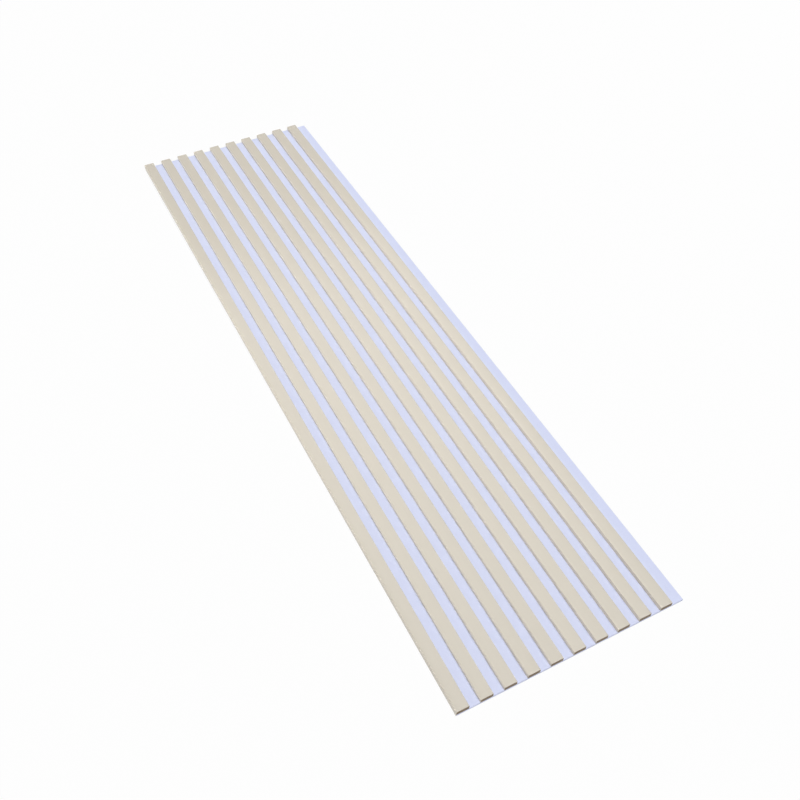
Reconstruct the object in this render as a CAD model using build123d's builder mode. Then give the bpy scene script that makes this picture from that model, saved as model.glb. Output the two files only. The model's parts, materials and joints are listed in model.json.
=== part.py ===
from build123d import *
import os

# Slat wall panel: wrapped fibreboard slats fixed side by side on a felt backing board.
# It lies flat with its felt on the ground. X runs across the slats, Y along them and Z up.
# The origin is the centre of the panel's footprint, at the underside of the felt.

# Driving dimensions in millimetres
panel_length = 2400
slat_count = 10
slat_width = 35
slat_gap = 30
slat_height = 14
slat_arris_radius = 1.5
felt_thickness = 7
tongue_width = 37

# Spacing across the panel: the first slat is flush with one long edge of the felt, and past the last
# slat the felt sticks out as a tongue that meets the flush edge of the next panel
slat_pitch = slat_width + slat_gap
panel_width = (slat_count - 1) * slat_pitch + slat_width + tongue_width
panel_left = -panel_width / 2
first_slat_centre = panel_left + slat_width / 2

os.makedirs("parts", exist_ok=True)

# Felt backing: one board of needled felt with square-cut edges
with BuildPart() as felt_backing:
    with BuildSketch(Plane.XZ):
        Rectangle(panel_width, felt_thickness, align=(Align.CENTER, Align.MIN))
    extrude(amount=panel_length / 2, both=True)
felt_backing.part.label = "felt_backing"
export_step(felt_backing.part, "parts/felt_backing.step")

# Slats: a rectangular section with the two upper arrises rounded where the film wraps round them,
# sawn square at both ends and seated flat on the felt
for index in range(slat_count):
    slat_name = f"slat_{index + 1:02d}"
    slat_centre = first_slat_centre + index * slat_pitch
    with BuildPart() as slat:
        with BuildSketch(Plane.XZ) as section:
            with Locations((slat_centre, felt_thickness)):
                Rectangle(slat_width, slat_height, align=(Align.CENTER, Align.MIN))
            upper_corners = section.vertices().group_by(Axis.Y)[-1]
            fillet(upper_corners, radius=slat_arris_radius)
        extrude(amount=panel_length / 2, both=True)
    slat.part.label = slat_name
    export_step(slat.part, f"parts/{slat_name}.step")
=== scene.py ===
import json
import math

import bmesh
import bpy
from bpy.props import FloatProperty, FloatVectorProperty, IntProperty, PointerProperty
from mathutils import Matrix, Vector, noise

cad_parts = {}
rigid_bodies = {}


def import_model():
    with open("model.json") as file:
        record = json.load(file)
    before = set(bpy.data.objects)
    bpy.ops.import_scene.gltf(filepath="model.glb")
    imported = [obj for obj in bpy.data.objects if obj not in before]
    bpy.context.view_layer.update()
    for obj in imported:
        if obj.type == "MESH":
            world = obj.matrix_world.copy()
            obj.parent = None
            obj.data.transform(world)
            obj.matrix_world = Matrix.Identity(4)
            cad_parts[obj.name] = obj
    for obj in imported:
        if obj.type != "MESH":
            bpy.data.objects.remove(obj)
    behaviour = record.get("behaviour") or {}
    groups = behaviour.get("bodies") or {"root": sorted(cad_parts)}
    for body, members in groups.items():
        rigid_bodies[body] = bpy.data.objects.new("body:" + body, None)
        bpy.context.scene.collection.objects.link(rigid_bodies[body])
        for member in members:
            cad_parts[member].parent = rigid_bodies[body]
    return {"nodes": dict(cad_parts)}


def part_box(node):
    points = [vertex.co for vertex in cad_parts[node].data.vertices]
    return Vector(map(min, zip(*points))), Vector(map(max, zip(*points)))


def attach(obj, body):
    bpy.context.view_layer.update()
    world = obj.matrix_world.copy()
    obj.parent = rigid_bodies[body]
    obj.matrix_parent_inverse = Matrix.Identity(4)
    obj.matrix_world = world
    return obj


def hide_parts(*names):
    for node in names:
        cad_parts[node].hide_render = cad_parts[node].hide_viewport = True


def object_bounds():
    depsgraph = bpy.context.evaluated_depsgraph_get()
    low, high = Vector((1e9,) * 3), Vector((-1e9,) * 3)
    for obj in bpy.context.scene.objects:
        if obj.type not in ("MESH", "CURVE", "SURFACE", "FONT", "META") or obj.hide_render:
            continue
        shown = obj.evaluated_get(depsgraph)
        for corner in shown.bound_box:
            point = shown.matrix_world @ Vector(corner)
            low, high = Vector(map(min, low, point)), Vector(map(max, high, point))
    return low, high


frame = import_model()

bl_info = {
    "name": "Slat Wall Panel",
    "version": (1, 0, 0),
    "blender": (4, 5, 0),
    "location": "View3D > Sidebar > Slat Panel",
    "description": "Dresses a wall panel of wrapped slats on a felt backing board",
    "category": "Object",
}

# The solids' box, kept before anything is added
cad_low, cad_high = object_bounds()

MM = 0.001
BODY = "root"
FELT_NODE = "felt_backing"
SLAT_NODES = sorted(name for name in frame["nodes"] if name.startswith("slat_"))

# Points closer together than this count as one
SAME_PLACE = 0.001 * MM

# Material slots of a slat
FILM = 0
BOARD = 1

# Steps in a slat's rounded corner, and the least radius of one inside the film
CORNER_STEPS = 5
LEAST_RADIUS = 0.05 * MM

# Share of the arris radius over which the film is painted lighter, a painted highlight along the upper
# edges
ARRIS_HIGHLIGHT_SHARE = 0.8

# Relief of the sawn board
SAW_MARK_DEPTH = 0.06 * MM
BOARD_FIBRE_DEPTH = 0.12 * MM

# Material slots of the felt
FELT_FACE = 0
FELT_CUT = 1

# Least spacing of the felt's mesh lines, and its gap under the slats' feet
LEAST_SPACING = 0.05 * MM
FOOT_GAP = 0.05 * MM

# How far past the last slat the tongue swells, and how far in from a cut edge the felt wavers
TONGUE_RISE = 14 * MM
WAVER_REACH = 12 * MM

# Lumps and wavers of the felt to the metre
UPPER_LUMPS = 40
UNDER_LUMPS = 25
EDGE_WAVERS = 30

# Half the width of a staple's dimple in wire widths, and half its length in crown lengths
DIMPLE_WIDTHS = 4
DIMPLE_LENGTHS = 0.9

# Felt mesh lines, as shares of the edge radius, the gap between two slats and a dimple's halves
EDGE_SHARES = (0.0, 0.15, 0.5, 1.0)
SWELL_SHARES = (0.0, 0.06, 0.16, 0.32, 0.5, 0.68, 0.84, 0.94, 1.0)
ACROSS_SHARES = (-1.0, -0.55, -0.2, 0.2, 0.55, 1.0)
ALONG_SHARES = (-1.0, -0.65, -0.45, 0.45, 0.65, 1.0)

# Sides of the staple wire, and how far its corners stand out to keep it about as wide as it says
WIRE_SIDES = 8
CORNER_FIT = 1.06

# Bend between a staple's crown and its legs
BEND_RADIUS = 0.9 * MM
BEND_STEPS = 4

# Most that a staple is turned, and the step through the noise from one staple to the next
MOST_TWIST = math.radians(7)
TWIST_STEP = 1.7

# Gap between the floor and the panel, and how far the camera sees in metres
FLOOR_GAP = 0.05 * MM
CAMERA_REACH = 200


def linear(red, green, blue):
    """A colour given in display values from 0 to 255, as the linear values that shaders take."""
    def one(value):
        share = value / 255
        if share <= 0.04045:
            return share / 12.92
        return ((share + 0.055) / 1.055) ** 2.4
    return one(red), one(green), one(blue)


def with_alpha(colour):
    """An opaque RGBA colour."""
    return (*colour, 1.0)


def scaled(colour, factor):
    """A colour made lighter or darker by a factor."""
    return tuple(min(1.0, channel * factor) for channel in colour)


# Settings that a user would change

class SlatSettings(bpy.types.PropertyGroup):
    """Sizes and colours of the wrapped slats."""
    film_colour: FloatVectorProperty(
        name="Film colour", description="Beige of the decor film round each slat",
        subtype="COLOR", size=3, min=0, max=1, default=linear(187, 181, 169))
    board_colour: FloatVectorProperty(
        name="Board colour", description="Raw fibreboard at the sawn ends and on the underside",
        subtype="COLOR", size=3, min=0, max=1, default=linear(136, 121, 103))
    film_thickness: FloatProperty(
        name="Film thickness", description="Film edge that shows round each sawn end",
        unit="LENGTH", default=0.35 * MM)
    arris_radius: FloatProperty(
        name="Arris radius", description="Rounding of the two upper long edges",
        unit="LENGTH", default=1.5 * MM)
    foot_radius: FloatProperty(
        name="Foot radius", description="Rounding of the two lower long edges",
        unit="LENGTH", default=0.4 * MM)
    film_return: FloatProperty(
        name="Film return", description="How far the film is turned in under the slat",
        unit="LENGTH", default=8 * MM)
    hem_clearance: FloatProperty(
        name="Hem clearance", description="Gap under the film that covers the felt's flush edge",
        unit="LENGTH", default=0.3 * MM)
    emboss_depth: FloatProperty(
        name="Emboss depth", description="Depth of the film's fine embossing",
        unit="LENGTH", default=0.03 * MM)


class FeltSettings(bpy.types.PropertyGroup):
    """Sizes and colours of the felt backing board."""
    felt_colour: FloatVectorProperty(
        name="Felt colour", description="Cool white of the needled felt",
        subtype="COLOR", size=3, min=0, max=1, default=linear(220, 226, 255))
    edge_colour: FloatVectorProperty(
        name="Cut edge colour", description="Felt where the knife has cut it",
        subtype="COLOR", size=3, min=0, max=1, default=linear(203, 209, 234))
    crown: FloatProperty(
        name="Crown", description="How far the felt swells up between two slats",
        unit="LENGTH", default=0.2 * MM)
    lumps: FloatProperty(
        name="Lumps", description="Unevenness of the felt's faces",
        unit="LENGTH", default=0.12 * MM)
    edge_radius: FloatProperty(
        name="Edge radius", description="Softness of the cut edges",
        unit="LENGTH", default=0.8 * MM)
    edge_waver: FloatProperty(
        name="Edge waver", description="How far a cut edge wanders inward from a straight line",
        unit="LENGTH", default=0.35 * MM)
    row_step: FloatProperty(
        name="Row step", description="Spacing of the mesh rows along the panel",
        unit="LENGTH", default=24 * MM)
    fibre_depth: FloatProperty(
        name="Fibre depth", description="Depth of the fibre relief",
        unit="LENGTH", default=0.25 * MM)


class StapleSettings(bpy.types.PropertyGroup):
    """Sizes and colour of the staples that hold the felt to the slats."""
    rows: IntProperty(
        name="Rows", description="Staples along each slat", min=2, default=9)
    end_margin: FloatProperty(
        name="End margin", description="From the panel's end to the first staple",
        unit="LENGTH", default=50 * MM)
    crown_length: FloatProperty(
        name="Crown length", description="Outside length of a staple's crown",
        unit="LENGTH", default=10 * MM)
    leg_length: FloatProperty(
        name="Leg length", description="Length of a staple's legs",
        unit="LENGTH", default=13 * MM)
    wire_width: FloatProperty(
        name="Wire width", description="Width of the flat wire",
        unit="LENGTH", default=1.2 * MM)
    wire_height: FloatProperty(
        name="Wire height", description="Thickness of the flat wire",
        unit="LENGTH", default=0.6 * MM)
    dimple_depth: FloatProperty(
        name="Dimple depth", description="How far a staple pulls the felt in",
        unit="LENGTH", default=1.0 * MM)
    steel_colour: FloatVectorProperty(
        name="Steel colour", description="Galvanised wire",
        subtype="COLOR", size=3, min=0, max=1, default=linear(176, 178, 178))


class StageSettings(bpy.types.PropertyGroup):
    """Camera, lamps and floor."""
    camera_place: FloatVectorProperty(
        name="Camera place", description="Where the camera stands",
        subtype="TRANSLATION", unit="LENGTH", size=3, default=(-0.8562, -1.9088, 2.0929))
    camera_turn: FloatVectorProperty(
        name="Camera turn", description="Tilt, roll and heading of the camera",
        subtype="EULER", unit="ROTATION", size=3,
        default=(math.radians(41.365), math.radians(-0.426), math.radians(-27.261)))
    lens: FloatProperty(
        name="Lens", description="Focal length", unit="CAMERA", default=41.914)
    sensor: FloatProperty(
        name="Sensor", description="Width of the sensor", unit="CAMERA", default=36.0)
    sky_strength: FloatProperty(
        name="Sky strength", description="Even light from all round", min=0, default=0.21)
    key_direction: FloatVectorProperty(
        name="Key direction", description="Towards the key lamp, high over the panel's near end",
        subtype="DIRECTION", size=3, default=(0.0, -0.46, 0.89))
    key_angle: FloatProperty(
        name="Key angle", description="Angle that the key lamp spans, which sets its softness",
        subtype="ANGLE", unit="ROTATION", default=math.radians(24))
    key_strength: FloatProperty(
        name="Key strength", description="Light from the key lamp on a surface that faces it",
        min=0, default=2.4)
    fill_place: FloatVectorProperty(
        name="Fill place", description="Where the fill softbox stands, far out on the left",
        subtype="TRANSLATION", unit="LENGTH", size=3, default=(-12.0, 0.15, 5.6))
    fill_turn: FloatVectorProperty(
        name="Fill turn", description="Tilt of the fill softbox, which faces the slats' left sides",
        subtype="EULER", unit="ROTATION", size=3, default=(0, math.radians(-66.5), 0))
    fill_size: FloatVectorProperty(
        name="Fill size", description="Height and length of the fill softbox",
        subtype="TRANSLATION", unit="LENGTH", size=2, default=(0.5, 2.9))
    fill_spread: FloatProperty(
        name="Fill spread", description="Angle of the fill's beam, which fades towards the panel's ends",
        subtype="ANGLE", unit="ROTATION", default=math.radians(20))
    fill_colour: FloatVectorProperty(
        name="Fill colour", description="Slightly warm light of the fill softbox",
        subtype="COLOR", size=3, min=0, max=1, default=(1.0, 0.95, 0.87))
    fill_power: FloatProperty(
        name="Fill power", description="Power of the fill softbox", unit="POWER", min=0, default=21.0)
    right_place: FloatVectorProperty(
        name="Right place", description="Where the softbox for the slats' right sides stands",
        subtype="TRANSLATION", unit="LENGTH", size=3, default=(5.0, 0.0, 1.34))
    right_turn: FloatVectorProperty(
        name="Right turn", description="Tilt of the right softbox, which faces the panel",
        subtype="EULER", unit="ROTATION", size=3, default=(0, math.radians(75), 0))
    right_size: FloatVectorProperty(
        name="Right size", description="Height and length of the right softbox",
        subtype="TRANSLATION", unit="LENGTH", size=2, default=(0.5, 2.4))
    right_power: FloatProperty(
        name="Right power", description="Power of the right softbox", unit="POWER", min=0, default=34.0)
    end_place: FloatVectorProperty(
        name="End place", description="Where the softbox for the far sawn ends stands",
        subtype="TRANSLATION", unit="LENGTH", size=3, default=(0.0, 6.5, 0.35))
    end_turn: FloatVectorProperty(
        name="End turn", description="Tilt of the end softbox, which faces the panel",
        subtype="EULER", unit="ROTATION", size=3, default=(math.radians(-87), 0, 0))
    end_size: FloatVectorProperty(
        name="End size", description="Length and height of the end softbox",
        subtype="TRANSLATION", unit="LENGTH", size=2, default=(2.0, 0.4))
    end_power: FloatProperty(
        name="End power", description="Power of the end softbox", unit="POWER", min=0, default=62.0)
    gloss_place: FloatVectorProperty(
        name="Gloss place", description="Middle of the softbox over the far end, which the film reflects",
        subtype="TRANSLATION", unit="LENGTH", size=3, default=(1.0, 1.05, 2.5))
    gloss_size: FloatVectorProperty(
        name="Gloss size", description="Width and length of the gloss softbox",
        subtype="TRANSLATION", unit="LENGTH", size=2, default=(2.4, 4.5))
    gloss_power: FloatProperty(
        name="Gloss power", description="Power of the gloss softbox", unit="POWER", min=0, default=68.0)
    floor_size: FloatProperty(
        name="Floor size", description="Side of the square floor", unit="LENGTH", default=60.0)
    floor_colour: FloatVectorProperty(
        name="Floor colour", description="Pale floor, as it throws light back on the panel",
        subtype="COLOR", size=3, min=0, max=1, default=(0.7, 0.7, 0.7))
    floor_glow: FloatProperty(
        name="Floor glow", description="Share of plain white that the camera sees in the floor",
        min=0, max=1, default=0.965)


# Node helpers

class Shader:
    """A material's node tree with short ways to add nodes and links."""

    def __init__(self, name):
        self.material = bpy.data.materials.new(name)
        self.material.use_nodes = True
        self.tree = self.material.node_tree
        self.surface = self.tree.nodes["Principled BSDF"]
        self.place = self.add("ShaderNodeTexCoord").outputs["Object"]

    def add(self, kind, **settings):
        """A new node with the given settings."""
        node = self.tree.nodes.new(kind)
        for key, value in settings.items():
            setattr(node, key, value)
        return node

    def link(self, source, target):
        """Joins an output to an input."""
        self.tree.links.new(source, target)

    def stretched(self, scale):
        """The place in the panel's frame, scaled along each axis."""
        mapping = self.add("ShaderNodeMapping")
        mapping.inputs["Scale"].default_value = scale
        self.link(self.place, mapping.inputs["Vector"])
        return mapping.outputs["Vector"]

    def noise(self, vector, scale, detail=2.0, roughness=0.5, distortion=0.0):
        """Smooth noise between 0 and 1."""
        node = self.add("ShaderNodeTexNoise")
        node.inputs["Scale"].default_value = scale
        node.inputs["Detail"].default_value = detail
        node.inputs["Roughness"].default_value = roughness
        node.inputs["Distortion"].default_value = distortion
        self.link(vector, node.inputs["Vector"])
        return node.outputs["Fac"]

    def ranged(self, value, low, high, start=0.0, end=1.0):
        """A value mapped from start..end to low..high."""
        node = self.add("ShaderNodeMapRange")
        node.inputs["From Min"].default_value = start
        node.inputs["From Max"].default_value = end
        node.inputs["To Min"].default_value = low
        node.inputs["To Max"].default_value = high
        self.link(value, node.inputs["Value"])
        return node.outputs["Result"]

    def mixed(self, factor, first, second):
        """A colour between two, each a colour or a socket."""
        node = self.add("ShaderNodeMix", data_type="RGBA")
        sockets = [socket for socket in node.inputs if socket.type == "RGBA"]
        for value, socket in zip((first, second), sockets):
            if isinstance(value, tuple):
                socket.default_value = with_alpha(value)
            else:
                self.link(value, socket)
        self.link(factor, node.inputs["Factor"])
        return next(socket for socket in node.outputs if socket.type == "RGBA")

    def bump(self, height, distance, strength=1.0, under=None):
        """Relief of a depth, laid over another where one is given."""
        node = self.add("ShaderNodeBump")
        node.inputs["Strength"].default_value = strength
        node.inputs["Distance"].default_value = distance
        self.link(height, node.inputs["Height"])
        if under is not None:
            self.link(under, node.inputs["Normal"])
        return node.outputs["Normal"]


# Materials

def film_material(settings):
    """Satin beige decor film: faint tone differences from slat to slat, and a fine embossed grain."""
    shader = Shader("beige_film")
    colour = tuple(settings.film_colour)
    tone = shader.noise(shader.stretched((14.0, 0.5, 0.0)), scale=1.0, detail=1.0)
    toned = shader.ranged(tone, low=0, high=1, start=0.3, end=0.7)
    tinted = shader.mixed(toned, scaled(colour, 0.982), scaled(colour, 1.012))
    speck = shader.noise(shader.stretched((1.0, 0.35, 1.0)), scale=1300, detail=3.0, roughness=0.6)
    specked = shader.ranged(speck, low=0, high=0.5, start=0.35, end=0.75)
    grained = shader.mixed(specked, tinted, scaled(colour, 0.95))
    arris = shader.add("ShaderNodeAttribute", attribute_name="arris").outputs["Fac"]
    # Painted highlight: the film's colour is made lighter along the rounded upper edges
    arris_highlighted = shader.mixed(shader.ranged(arris, low=0, high=0.8), grained, scaled(colour, 1.15))
    shader.link(arris_highlighted, shader.surface.inputs["Base Color"])
    gloss = shader.noise(shader.stretched((1.0, 0.2, 1.0)), scale=260, detail=2.0)
    shader.link(shader.ranged(gloss, low=0.22, high=0.27), shader.surface.inputs["Roughness"])
    pores = shader.noise(shader.stretched((1.0, 0.06, 1.0)), scale=1800, detail=2.0, roughness=0.55)
    shader.link(shader.bump(pores, settings.emboss_depth), shader.surface.inputs["Normal"])
    return shader.material


def board_material(settings, low, high):
    """Raw fibreboard: short brown fibres, denser and darker towards the two faces of the board."""
    shader = Shader("raw_fibreboard")
    colour = tuple(settings.board_colour)
    fibre = shader.noise(
        shader.stretched((1.0, 1.0, 2.2)), scale=1500, detail=4.0, roughness=0.65, distortion=0.6)
    tangled = shader.ranged(fibre, low=0, high=1, start=0.3, end=0.7)
    mottled = shader.mixed(tangled, scaled(colour, 0.72), scaled(colour, 1.22))
    parts = shader.add("ShaderNodeSeparateXYZ")
    shader.link(shader.place, parts.inputs["Vector"])
    depth = shader.ranged(parts.outputs["Z"], low=-1.0, high=1.0, start=low.z, end=high.z)
    skin = shader.add("ShaderNodeMath", operation="ABSOLUTE")
    shader.link(depth, skin.inputs[0])
    dense = shader.ranged(skin.outputs[0], low=0, high=0.5, start=0.55, end=1.0)
    layered = shader.mixed(dense, mottled, scaled(colour, 0.62))
    shader.link(layered, shader.surface.inputs["Base Color"])
    shader.surface.inputs["Roughness"].default_value = 0.9
    shader.surface.inputs["Specular IOR Level"].default_value = 0.2
    saw = shader.noise(shader.stretched((3.0, 1.0, 0.4)), scale=900, detail=2.0)
    marks = shader.bump(saw, SAW_MARK_DEPTH)
    relief = shader.bump(fibre, BOARD_FIBRE_DEPTH, under=marks)
    shader.link(relief, shader.surface.inputs["Normal"])
    return shader.material


def felt_material(name, colour, fibre_depth, squeeze):
    """Needled felt: tangled fibres that catch the light, with small thick and thin places."""
    shader = Shader(name)
    tangle = shader.noise(
        shader.stretched(squeeze), scale=1100, detail=4.0, roughness=0.7, distortion=2.5)
    clump = shader.noise(
        shader.stretched(squeeze), scale=160, detail=3.0, roughness=0.6, distortion=0.8)
    tangled = shader.ranged(tangle, low=0, high=1, start=0.3, end=0.7)
    fibres = shader.mixed(tangled, scaled(colour, 0.93), scaled(colour, 1.04))
    clumped = shader.ranged(clump, low=0, high=0.5, start=0.45, end=0.8)
    clouded = shader.mixed(clumped, fibres, scaled(colour, 0.95))
    shader.link(clouded, shader.surface.inputs["Base Color"])
    shader.surface.inputs["Roughness"].default_value = 0.95
    shader.surface.inputs["Specular IOR Level"].default_value = 0.15
    shader.surface.inputs["Sheen Weight"].default_value = 0.12
    shader.surface.inputs["Sheen Roughness"].default_value = 0.6
    soft = shader.bump(clump, fibre_depth, strength=0.5)
    relief = shader.bump(tangle, fibre_depth, strength=0.8, under=soft)
    shader.link(relief, shader.surface.inputs["Normal"])
    return shader.material


def steel_material(settings):
    """Galvanised flat wire, a little cloudy."""
    shader = Shader("galvanised_wire")
    colour = tuple(settings.steel_colour)
    cloud = shader.noise(shader.place, scale=700, detail=2.0)
    clouded = shader.mixed(cloud, scaled(colour, 0.85), scaled(colour, 1.1))
    shader.link(clouded, shader.surface.inputs["Base Color"])
    shader.surface.inputs["Metallic"].default_value = 1.0
    shader.link(shader.ranged(cloud, low=0.3, high=0.48), shader.surface.inputs["Roughness"])
    return shader.material


# Mesh helpers

def new_piece(name, points, faces, materials, slots):
    """A mesh object in the panel's frame, with one material index for each face."""
    mesh = bpy.data.meshes.new(name)
    mesh.from_pydata(points, [], faces)
    for material in materials:
        mesh.materials.append(material)
    mesh.polygons.foreach_set("material_index", slots)
    mesh.validate()
    mesh.update()
    piece = bpy.data.objects.new(name, mesh)
    bpy.context.scene.collection.objects.link(piece)
    return piece


def smooth_by_angle(piece, degrees):
    """Smooth shading, with edges sharper than the angle kept crisp."""
    mesh = piece.data
    mesh.polygons.foreach_set("use_smooth", [True] * len(mesh.polygons))
    mesh.set_sharp_from_angle(angle=math.radians(degrees))


def weld(piece):
    """Joins points that lie in one place, and drops the faces that this leaves without area."""
    shape = bmesh.new()
    shape.from_mesh(piece.data)
    bmesh.ops.remove_doubles(shape, verts=shape.verts, dist=SAME_PLACE)
    shape.to_mesh(piece.data)
    shape.free()


def wave(x, y, seed):
    """Smooth noise between -1 and 1 that is the same on each run."""
    return noise.noise(Vector((x, y, seed)))


# Slats

def slat_section(low, high, settings, inset, hem=None):
    """The slat's section as (x, z) points, from the left foot round over the top, drawn in by the inset.

    With a hem, the film on the left side runs on down to that height and isn't turned in under the slat.
    The raw board's strip on the underside starts at the point whose number is given back too.
    """
    left = low.x + inset
    right = high.x - inset
    foot = low.z + inset
    top = high.z - inset
    foot_radius = max(settings.foot_radius - inset, LEAST_RADIUS)
    arris_radius = max(settings.arris_radius - inset, LEAST_RADIUS)
    corners = (
        (left + foot_radius, foot + foot_radius, foot_radius, 270),
        (left + arris_radius, top - arris_radius, arris_radius, 180),
        (right - arris_radius, top - arris_radius, arris_radius, 90),
        (right - foot_radius, foot + foot_radius, foot_radius, 0),
    )
    if hem is not None:
        corners = corners[1:]
    points = []
    for centre_x, centre_z, radius, start in corners:
        for step in range(CORNER_STEPS + 1):
            angle = math.radians(start - 90 * step / CORNER_STEPS)
            points.append((centre_x + radius * math.cos(angle), centre_z + radius * math.sin(angle)))
    raw_strip = len(points)
    points.append((right - settings.film_return, foot))
    if hem is None:
        points.append((left + settings.film_return, foot))
    elif inset:
        # The board has no hem, so the hem's three points fall together at its foot
        points += [(left, foot)] * 3
    else:
        film = settings.film_thickness
        points += [(left + 2 * film, foot), (left + film, hem), (left, hem)]
    return points, raw_strip


def wrapped_name(node):
    """The name of the piece that stands for a slat's node."""
    return node + "_wrapped"


def make_slat(node, settings, materials, hem=None):
    """One slat: a straight wrapped length with a thin film edge round the raw board at both ends."""
    low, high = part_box(node)
    outer, raw_strip = slat_section(low, high, settings, inset=0.0, hem=hem)
    inner, raw_strip = slat_section(low, high, settings, inset=settings.film_thickness, hem=hem)
    points = []
    for y in (low.y, high.y):
        points.extend((x, y, z) for x, z in outer)
        points.extend((x, y, z) for x, z in inner)
    faces = []
    slots = []
    count = len(outer)
    far = 2 * count
    for index in range(count):
        after = (index + 1) % count
        faces.append((index, after, far + after, far + index))
        faces.append((after, index, count + index, count + after))
        faces.append((far + index, far + after, far + count + after, far + count + index))
        slots += [BOARD if index == raw_strip else FILM] * 3
    near_end = tuple(range(far - 1, count - 1, -1))
    far_end = tuple(range(far + count, far + 2 * count))
    faces += [near_end, far_end]
    slots += [BOARD, BOARD]
    piece = new_piece(wrapped_name(node), points, faces, materials, slots)
    weld(piece)
    smooth_by_angle(piece, degrees=35)
    mark_arrises(piece, low, high, settings)
    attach(piece, BODY)
    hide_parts(node)


def mark_arrises(piece, low, high, settings):
    """Stores 1 at the rounded upper edges and 0 elsewhere, for the film's painted highlight there."""
    attribute = piece.data.attributes.new("arris", "FLOAT", "POINT")
    reach = settings.arris_radius * ARRIS_HIGHLIGHT_SHARE
    values = []
    for vertex in piece.data.vertices:
        from_side = min(vertex.co.x - low.x, high.x - vertex.co.x)
        from_top = high.z - vertex.co.z
        values.append(1.0 if from_top < reach and from_side < reach else 0.0)
    attribute.data.foreach_set("value", values)


def slat_boxes():
    """The lowest and highest corner of each slat, from left to right."""
    return [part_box(node) for node in SLAT_NODES]


# Felt

def staple_places(staples):
    """The middle of each staple's crown as (x, y), in one line under each slat."""
    places = []
    for low, high in slat_boxes():
        start = low.y + staples.end_margin
        step = (high.y - low.y - 2 * staples.end_margin) / (staples.rows - 1)
        for row in range(staples.rows):
            places.append(((low.x + high.x) / 2, start + row * step))
    return places


def merged(values, gap):
    """Sorted values without those closer together than the gap."""
    kept = []
    for value in sorted(values):
        if not kept or value - kept[-1] > gap:
            kept.append(value)
    return kept


def edge_offsets(radius):
    """Distances from a cut edge at which the rounding needs points."""
    return [radius * share for share in EDGE_SHARES]


def edge_drop(distance, radius):
    """How far a rounded edge falls away at a distance in from it."""
    if distance >= radius:
        return 0.0
    return radius - math.sqrt(max(radius ** 2 - (radius - distance) ** 2, 0.0))


def felt_columns(settings, staples, low, high):
    """Places across the felt: cut edges, slat feet, swells between slats and staple dimples."""
    values = [low.x + offset for offset in edge_offsets(settings.edge_radius)]
    values += [high.x - offset for offset in edge_offsets(settings.edge_radius)]
    feet = slat_boxes()
    starts = [slat_high.x for slat_low, slat_high in feet]
    ends = [slat_low.x for slat_low, slat_high in feet[1:]] + [high.x]
    for start, end in zip(starts, ends):
        values += [start + (end - start) * share for share in SWELL_SHARES]
    half_width = staples.wire_width * DIMPLE_WIDTHS
    for middle in sorted({x for x, y in staple_places(staples)}):
        values += [middle + half_width * share for share in ACROSS_SHARES]
    return merged([value for value in values if low.x <= value <= high.x], LEAST_SPACING)


def felt_rows(settings, staples, low, high):
    """Places along the felt: both cut ends, an even run between them and the staple dimples."""
    values = [low.y + offset for offset in edge_offsets(settings.edge_radius)]
    values += [high.y - offset for offset in edge_offsets(settings.edge_radius)]
    count = round((high.y - low.y) / settings.row_step)
    values += [low.y + (high.y - low.y) * index / count for index in range(1, count)]
    half_length = staples.crown_length * DIMPLE_LENGTHS
    for middle in sorted({y for x, y in staple_places(staples)}):
        values += [middle + half_length * share for share in ALONG_SHARES]
    return merged(values, LEAST_SPACING)


def swell(x, settings, feet):
    """Height of the felt's upper face over the slats' feet: level under a slat, crowned between two."""
    for index, (low, high) in enumerate(feet):
        if low.x - SAME_PLACE <= x <= high.x + SAME_PLACE:
            return -FOOT_GAP
        if index + 1 < len(feet) and high.x < x < feet[index + 1][0].x:
            share = (x - high.x) / (feet[index + 1][0].x - high.x)
            return settings.crown * (1 - (2 * share - 1) ** 4)
    share = min(1.0, (x - feet[-1][1].x) / TONGUE_RISE)
    return settings.crown * (1 - (1 - share) ** 4)


def dimple(x, y, staples, places):
    """How far the nearest staple draws the felt's underside in."""
    half_width = staples.wire_width * DIMPLE_WIDTHS
    half_length = staples.crown_length * DIMPLE_LENGTHS
    deepest = 0.0
    for place_x, place_y in places:
        if abs(x - place_x) <= half_width and abs(y - place_y) <= half_length:
            across = abs(x - place_x) / half_width
            along = max(0.0, abs(y - place_y) / half_length - 0.5) * 2
            fall = min(1.0, math.hypot(across, along))
            deepest = max(deepest, 0.5 + 0.5 * math.cos(math.pi * fall))
    return staples.dimple_depth * deepest


def wavered(x, y, low, high, settings):
    """A point of the felt drawn in where the cut edge wanders."""
    pull_x = settings.edge_waver * (0.5 + 0.5 * wave(0, y * EDGE_WAVERS, seed=5.3))
    pull_y = settings.edge_waver * (0.5 + 0.5 * wave(x * EDGE_WAVERS, 0, seed=6.9))
    left = max(0.0, 1 - (x - low.x) / WAVER_REACH)
    right = max(0.0, 1 - (high.x - x) / WAVER_REACH)
    near = max(0.0, 1 - (y - low.y) / WAVER_REACH)
    far = max(0.0, 1 - (high.y - y) / WAVER_REACH)
    return x + pull_x * (left - right), y + pull_y * (near - far)


def felt_points(columns, rows, low, high, settings, staples):
    """The points of the felt's upper face, row by row, and then those of its underside."""
    feet = slat_boxes()
    places = staple_places(staples)
    swells = [swell(x, settings, feet) for x in columns]
    upper = []
    under = []
    for y in rows:
        from_end = min(y - low.y, high.y - y)
        for x, rise in zip(columns, swells):
            from_side = min(x - low.x, high.x - x)
            drop = edge_drop(min(from_side, from_end), settings.edge_radius)
            if rise >= 0:
                rise += settings.lumps * wave(x * UPPER_LUMPS, y * UPPER_LUMPS, seed=3.1)
            lump = settings.lumps * (0.5 + 0.5 * wave(x * UNDER_LUMPS, y * UNDER_LUMPS, seed=8.7))
            lift = lump + dimple(x, y, staples, places)
            point_x, point_y = wavered(x, y, low, high, settings)
            upper.append((point_x, point_y, high.z + rise - drop))
            under.append((point_x, point_y, low.z + lift + drop))
    return upper + under


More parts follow.
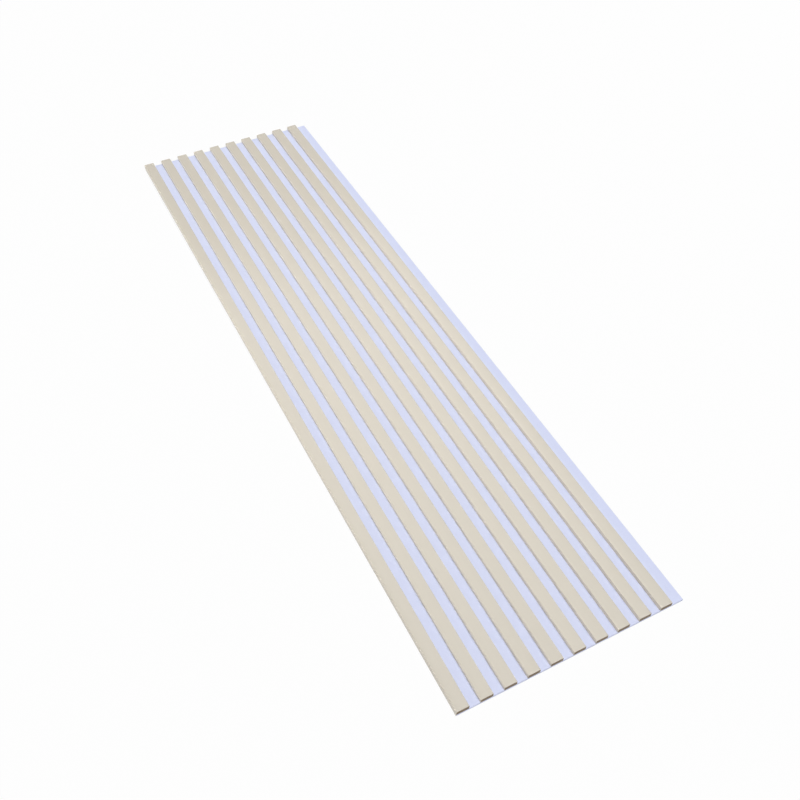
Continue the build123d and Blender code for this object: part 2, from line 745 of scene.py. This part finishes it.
def felt_faces(wide, tall, rounding):
    """The felt's faces and their material slots: cut felt on the upright rim and the rounded edges."""
    faces = []
    slots = []
    below = wide * tall
    for row in range(tall - 1):
        for column in range(wide - 1):
            start = row * wide + column
            corners = (start, start + 1, start + wide + 1, start + wide)
            faces.append(corners)
            faces.append(tuple(below + corner for corner in reversed(corners)))
            from_edge = min(column, wide - 2 - column, row, tall - 2 - row)
            slots += [FELT_CUT if from_edge < rounding else FELT_FACE] * 2
    rim = list(range(wide))
    rim += [row * wide + wide - 1 for row in range(1, tall)]
    rim += [(tall - 1) * wide + column for column in range(wide - 2, -1, -1)]
    rim += [row * wide for row in range(tall - 2, 0, -1)]
    for index, here in enumerate(rim):
        after = rim[(index + 1) % len(rim)]
        faces.append((after, here, below + here, below + after))
        slots.append(FELT_CUT)
    return faces, slots


def make_felt(settings, staples, slats):
    """The felt board: swollen between the slats, soft and slightly wavering at its cut edges."""
    low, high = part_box(FELT_NODE)
    # The first slat's film covers the felt's flush edge
    low.x += slats.film_thickness
    columns = felt_columns(settings, staples, low, high)
    rows = felt_rows(settings, staples, low, high)
    points = felt_points(columns, rows, low, high, settings, staples)
    faces, slots = felt_faces(len(columns), len(rows), rounding=len(EDGE_SHARES) - 1)
    depth = settings.fibre_depth
    materials = (
        felt_material("needled_felt", tuple(settings.felt_colour), depth, squeeze=(1.0, 1.0, 1.0)),
        felt_material("cut_felt_edge", tuple(settings.edge_colour), depth, squeeze=(0.6, 0.6, 2.4)),
    )
    piece = new_piece("felt_board", points, faces, materials, slots)
    smooth_by_angle(piece, degrees=60)
    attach(piece, BODY)
    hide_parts(FELT_NODE)


# Staples

def staple_path(settings):
    """The middle of the wire as (along, up, turn) from one leg's tip over the crown to the other."""
    half = settings.crown_length / 2 - settings.wire_height / 2
    path = [(-half, settings.leg_length, 90)]
    for step in range(BEND_STEPS + 1):
        turned = 90 * step / BEND_STEPS
        angle = math.radians(turned)
        along = -half + BEND_RADIUS - BEND_RADIUS * math.cos(angle)
        up = BEND_RADIUS - BEND_RADIUS * math.sin(angle)
        path.append((along, up, 90 - turned))
    path += [(-along, up, -turn) for along, up, turn in reversed(path)]
    return path


def wire_section(settings):
    """The flat wire's section as (across, out) points round its middle."""
    half_width = settings.wire_width / 2
    half_height = settings.wire_height / 2
    points = []
    for side in range(WIRE_SIDES):
        angle = math.radians(360 / WIRE_SIDES * (side + 0.5))
        across = half_width * math.cos(angle) * CORNER_FIT
        out = half_height * math.sin(angle) * CORNER_FIT
        points.append((across, out))
    return points


def staple_points(x, y, seat, twist, path, section):
    """One staple's points, ring by ring along its wire."""
    points = []
    for along, up, turn in path:
        tilt = math.radians(turn)
        for across, out in section:
            local_along = along + out * math.sin(tilt)
            local_up = up - out * math.cos(tilt)
            point_x = x + across * math.cos(twist) - local_along * math.sin(twist)
            point_y = y + across * math.sin(twist) + local_along * math.cos(twist)
            points.append((point_x, point_y, seat + local_up))
    return points


def staple_faces(first, rings, around):
    """One staple's faces, from the number of its first point."""
    faces = []
    for ring in range(rings - 1):
        start = first + ring * around
        for side in range(around):
            here = start + side
            after = start + (side + 1) % around
            faces.append((after, here, here + around, after + around))
    last = first + (rings - 1) * around
    faces.append(tuple(range(first, first + around)))
    faces.append(tuple(range(last + around - 1, last - 1, -1)))
    return faces


def make_staples(settings):
    """All the staples, as one joined mesh of flat bent wire."""
    points = []
    faces = []
    path = staple_path(settings)
    section = wire_section(settings)
    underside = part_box(FELT_NODE)[0].z
    seat = underside + settings.dimple_depth - settings.wire_height / 2
    for number, (x, y) in enumerate(staple_places(settings)):
        twist = MOST_TWIST * wave(number * TWIST_STEP, 0, seed=2.2)
        faces += staple_faces(len(points), len(path), len(section))
        points += staple_points(x, y, seat, twist, path, section)
    piece = new_piece("staples", points, faces, (steel_material(settings),), [0] * len(faces))
    smooth_by_angle(piece, degrees=50)
    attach(piece, BODY)


# Stage

def far_lamp(name, direction, angle, strength):
    """A far round lamp that lights the whole panel evenly."""
    lamp = bpy.data.lights.new(name, "SUN")
    lamp.angle = angle
    lamp.energy = strength
    holder = bpy.data.objects.new(name, lamp)
    holder.rotation_euler = Vector(direction).to_track_quat("Z", "Y").to_euler()
    bpy.context.scene.collection.objects.link(holder)


def softbox(name, place, turn, size, power, spread=math.pi):
    """A rectangular lamp that the camera doesn't see, given back as its object."""
    lamp = bpy.data.lights.new(name, "AREA")
    lamp.shape = "RECTANGLE"
    lamp.size, lamp.size_y = size
    lamp.energy = power
    lamp.spread = spread
    holder = bpy.data.objects.new(name, lamp)
    holder.location = place
    holder.rotation_euler = turn
    holder.visible_camera = False
    bpy.context.scene.collection.objects.link(holder)
    return holder


def keep_to(lamp, pieces):
    """Keeps a lamp's light to the given pieces, as flags beside it would."""
    reached = bpy.data.collections.new(lamp.name + "_reach")
    for piece in pieces:
        reached.objects.link(piece)
    lamp.light_linking.receiver_collection = reached


def seen_directly(tree):
    """1 for rays from the camera, a reflection or a clear material, and 0 for rays of soft light."""
    rays = tree.nodes.new("ShaderNodeLightPath")
    total = rays.outputs["Is Camera Ray"]
    for name in ("Is Glossy Ray", "Is Transmission Ray"):
        larger = tree.nodes.new("ShaderNodeMath")
        larger.operation = "MAXIMUM"
        tree.links.new(total, larger.inputs[0])
        tree.links.new(rays.outputs[name], larger.inputs[1])
        total = larger.outputs[0]
    return total


def make_world(settings):
    """Even white light, with plain white seen behind the floor."""
    world = bpy.data.worlds.new("studio")
    bpy.context.scene.world = world
    world.use_nodes = True
    tree = world.node_tree
    background = tree.nodes["Background"]
    background.inputs["Color"].default_value = (1, 1, 1, 1)
    strength = tree.nodes.new("ShaderNodeMapRange")
    strength.inputs["To Min"].default_value = settings.sky_strength
    strength.inputs["To Max"].default_value = 1.0
    tree.links.new(seen_directly(tree), strength.inputs["Value"])
    tree.links.new(strength.outputs["Result"], background.inputs["Strength"])


def make_floor(settings):
    """A plain pale floor that is seen almost white and keeps a trace of the panel's shadow."""
    half = settings.floor_size / 2
    mesh = bpy.data.meshes.new("floor")
    corners = [(-half, -half, 0), (half, -half, 0), (half, half, 0), (-half, half, 0)]
    mesh.from_pydata(corners, [], [(0, 1, 2, 3)])
    floor = bpy.data.objects.new("floor", mesh)
    floor.location.z = cad_low.z - FLOOR_GAP
    bpy.context.scene.collection.objects.link(floor)
    mesh.materials.append(floor_material(settings))


def floor_material(settings):
    """Matt pale grey for soft light, and almost plain white where it is seen."""
    material = bpy.data.materials.new("white_floor")
    material.use_nodes = True
    tree = material.node_tree
    tree.nodes.remove(tree.nodes["Principled BSDF"])
    matt = tree.nodes.new("ShaderNodeBsdfDiffuse")
    matt.inputs["Color"].default_value = with_alpha(settings.floor_colour)
    glow = tree.nodes.new("ShaderNodeEmission")
    share = tree.nodes.new("ShaderNodeMapRange")
    share.inputs["To Max"].default_value = settings.floor_glow
    mix = tree.nodes.new("ShaderNodeMixShader")
    tree.links.new(seen_directly(tree), share.inputs["Value"])
    tree.links.new(share.outputs["Result"], mix.inputs["Fac"])
    tree.links.new(matt.outputs["BSDF"], mix.inputs[1])
    tree.links.new(glow.outputs["Emission"], mix.inputs[2])
    tree.links.new(mix.outputs["Shader"], tree.nodes["Material Output"].inputs["Surface"])
    return material


def make_lamps(settings):
    """The key lamp over the panel, a softbox for each shaded side and one that only shows as gloss."""
    far_lamp("key_lamp", settings.key_direction, settings.key_angle, settings.key_strength)
    fill = softbox("fill_lamp", settings.fill_place, settings.fill_turn, settings.fill_size,
                   settings.fill_power, settings.fill_spread)
    right = softbox("right_lamp", settings.right_place, settings.right_turn, settings.right_size,
                    settings.right_power)
    end = softbox("end_lamp", settings.end_place, settings.end_turn, settings.end_size,
                  settings.end_power)
    gloss = softbox("gloss_lamp", settings.gloss_place, (0, 0, 0), settings.gloss_size,
                    settings.gloss_power)
    for lamp in (fill, right, end):
        lamp.visible_glossy = False
    gloss.visible_diffuse = False
    fill.data.color = settings.fill_colour
    # Off the slats, the fill would brighten a strip along the felt tongue
    keep_to(fill, [bpy.data.objects[wrapped_name(node)] for node in SLAT_NODES])


def make_camera(settings):
    """The camera at the photograph's viewing angle."""
    data = bpy.data.cameras.new("camera")
    data.sensor_width = settings.sensor
    data.lens = settings.lens
    data.clip_end = CAMERA_REACH
    camera = bpy.data.objects.new("camera", data)
    camera.location = settings.camera_place
    camera.rotation_euler = settings.camera_turn
    bpy.context.scene.collection.objects.link(camera)
    bpy.context.scene.camera = camera


# Operators

class SLATPANEL_OT_felt(bpy.types.Operator):
    """Make the felt backing board"""
    bl_idname = "slat_panel.felt"
    bl_label = "Felt Board"

    def execute(self, context):
        scene = context.scene
        make_felt(scene.slat_panel_felt, scene.slat_panel_staples, scene.slat_panel_slats)
        return {"FINISHED"}


class SLATPANEL_OT_slats(bpy.types.Operator):
    """Make the wrapped slats"""
    bl_idname = "slat_panel.slats"
    bl_label = "Slats"

    def execute(self, context):
        settings = context.scene.slat_panel_slats
        low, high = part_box(SLAT_NODES[0])
        materials = (film_material(settings), board_material(settings, low, high))
        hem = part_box(FELT_NODE)[0].z + settings.hem_clearance
        make_slat(SLAT_NODES[0], settings, materials, hem)
        for node in SLAT_NODES[1:]:
            make_slat(node, settings, materials)
        return {"FINISHED"}


class SLATPANEL_OT_staples(bpy.types.Operator):
    """Make the staples in the felt's underside"""
    bl_idname = "slat_panel.staples"
    bl_label = "Staples"

    def execute(self, context):
        make_staples(context.scene.slat_panel_staples)
        return {"FINISHED"}


class SLATPANEL_OT_stage(bpy.types.Operator):
    """Make the floor, the lamps and the camera, once the slats are made"""
    bl_idname = "slat_panel.stage"
    bl_label = "Stage"

    def execute(self, context):
        settings = context.scene.slat_panel_stage
        context.scene.view_settings.view_transform = "Standard"
        make_world(settings)
        make_floor(settings)
        make_lamps(settings)
        make_camera(settings)
        return {"FINISHED"}


class SLATPANEL_PT_sidebar(bpy.types.Panel):
    """Lists the panel's pieces and their settings"""
    bl_idname = "SLATPANEL_PT_sidebar"
    bl_label = "Slat Wall Panel"
    bl_space_type = "VIEW_3D"
    bl_region_type = "UI"
    bl_category = "Slat Panel"

    def draw(self, context):
        for operator, group, settings in STEPS:
            box = self.layout.box()
            box.operator(operator.bl_idname)
            values = getattr(context.scene, group)
            for key in settings.__annotations__:
                box.prop(values, key)


# Each operator with its settings and their name on the scene, in the order of making
STEPS = (
    (SLATPANEL_OT_felt, "slat_panel_felt", FeltSettings),
    (SLATPANEL_OT_slats, "slat_panel_slats", SlatSettings),
    (SLATPANEL_OT_staples, "slat_panel_staples", StapleSettings),
    (SLATPANEL_OT_stage, "slat_panel_stage", StageSettings),
)


def register():
    for operator, group, settings in STEPS:
        bpy.utils.register_class(settings)
        bpy.utils.register_class(operator)
        setattr(bpy.types.Scene, group, PointerProperty(type=settings))
    bpy.utils.register_class(SLATPANEL_PT_sidebar)


def unregister():
    bpy.utils.unregister_class(SLATPANEL_PT_sidebar)
    for operator, group, settings in reversed(STEPS):
        delattr(bpy.types.Scene, group)
        bpy.utils.unregister_class(operator)
        bpy.utils.unregister_class(settings)


def main():
    register()
    bpy.ops.slat_panel.felt()
    bpy.ops.slat_panel.slats()
    bpy.ops.slat_panel.staples()
    bpy.ops.slat_panel.stage()


if __name__ == "__main__":
    main()
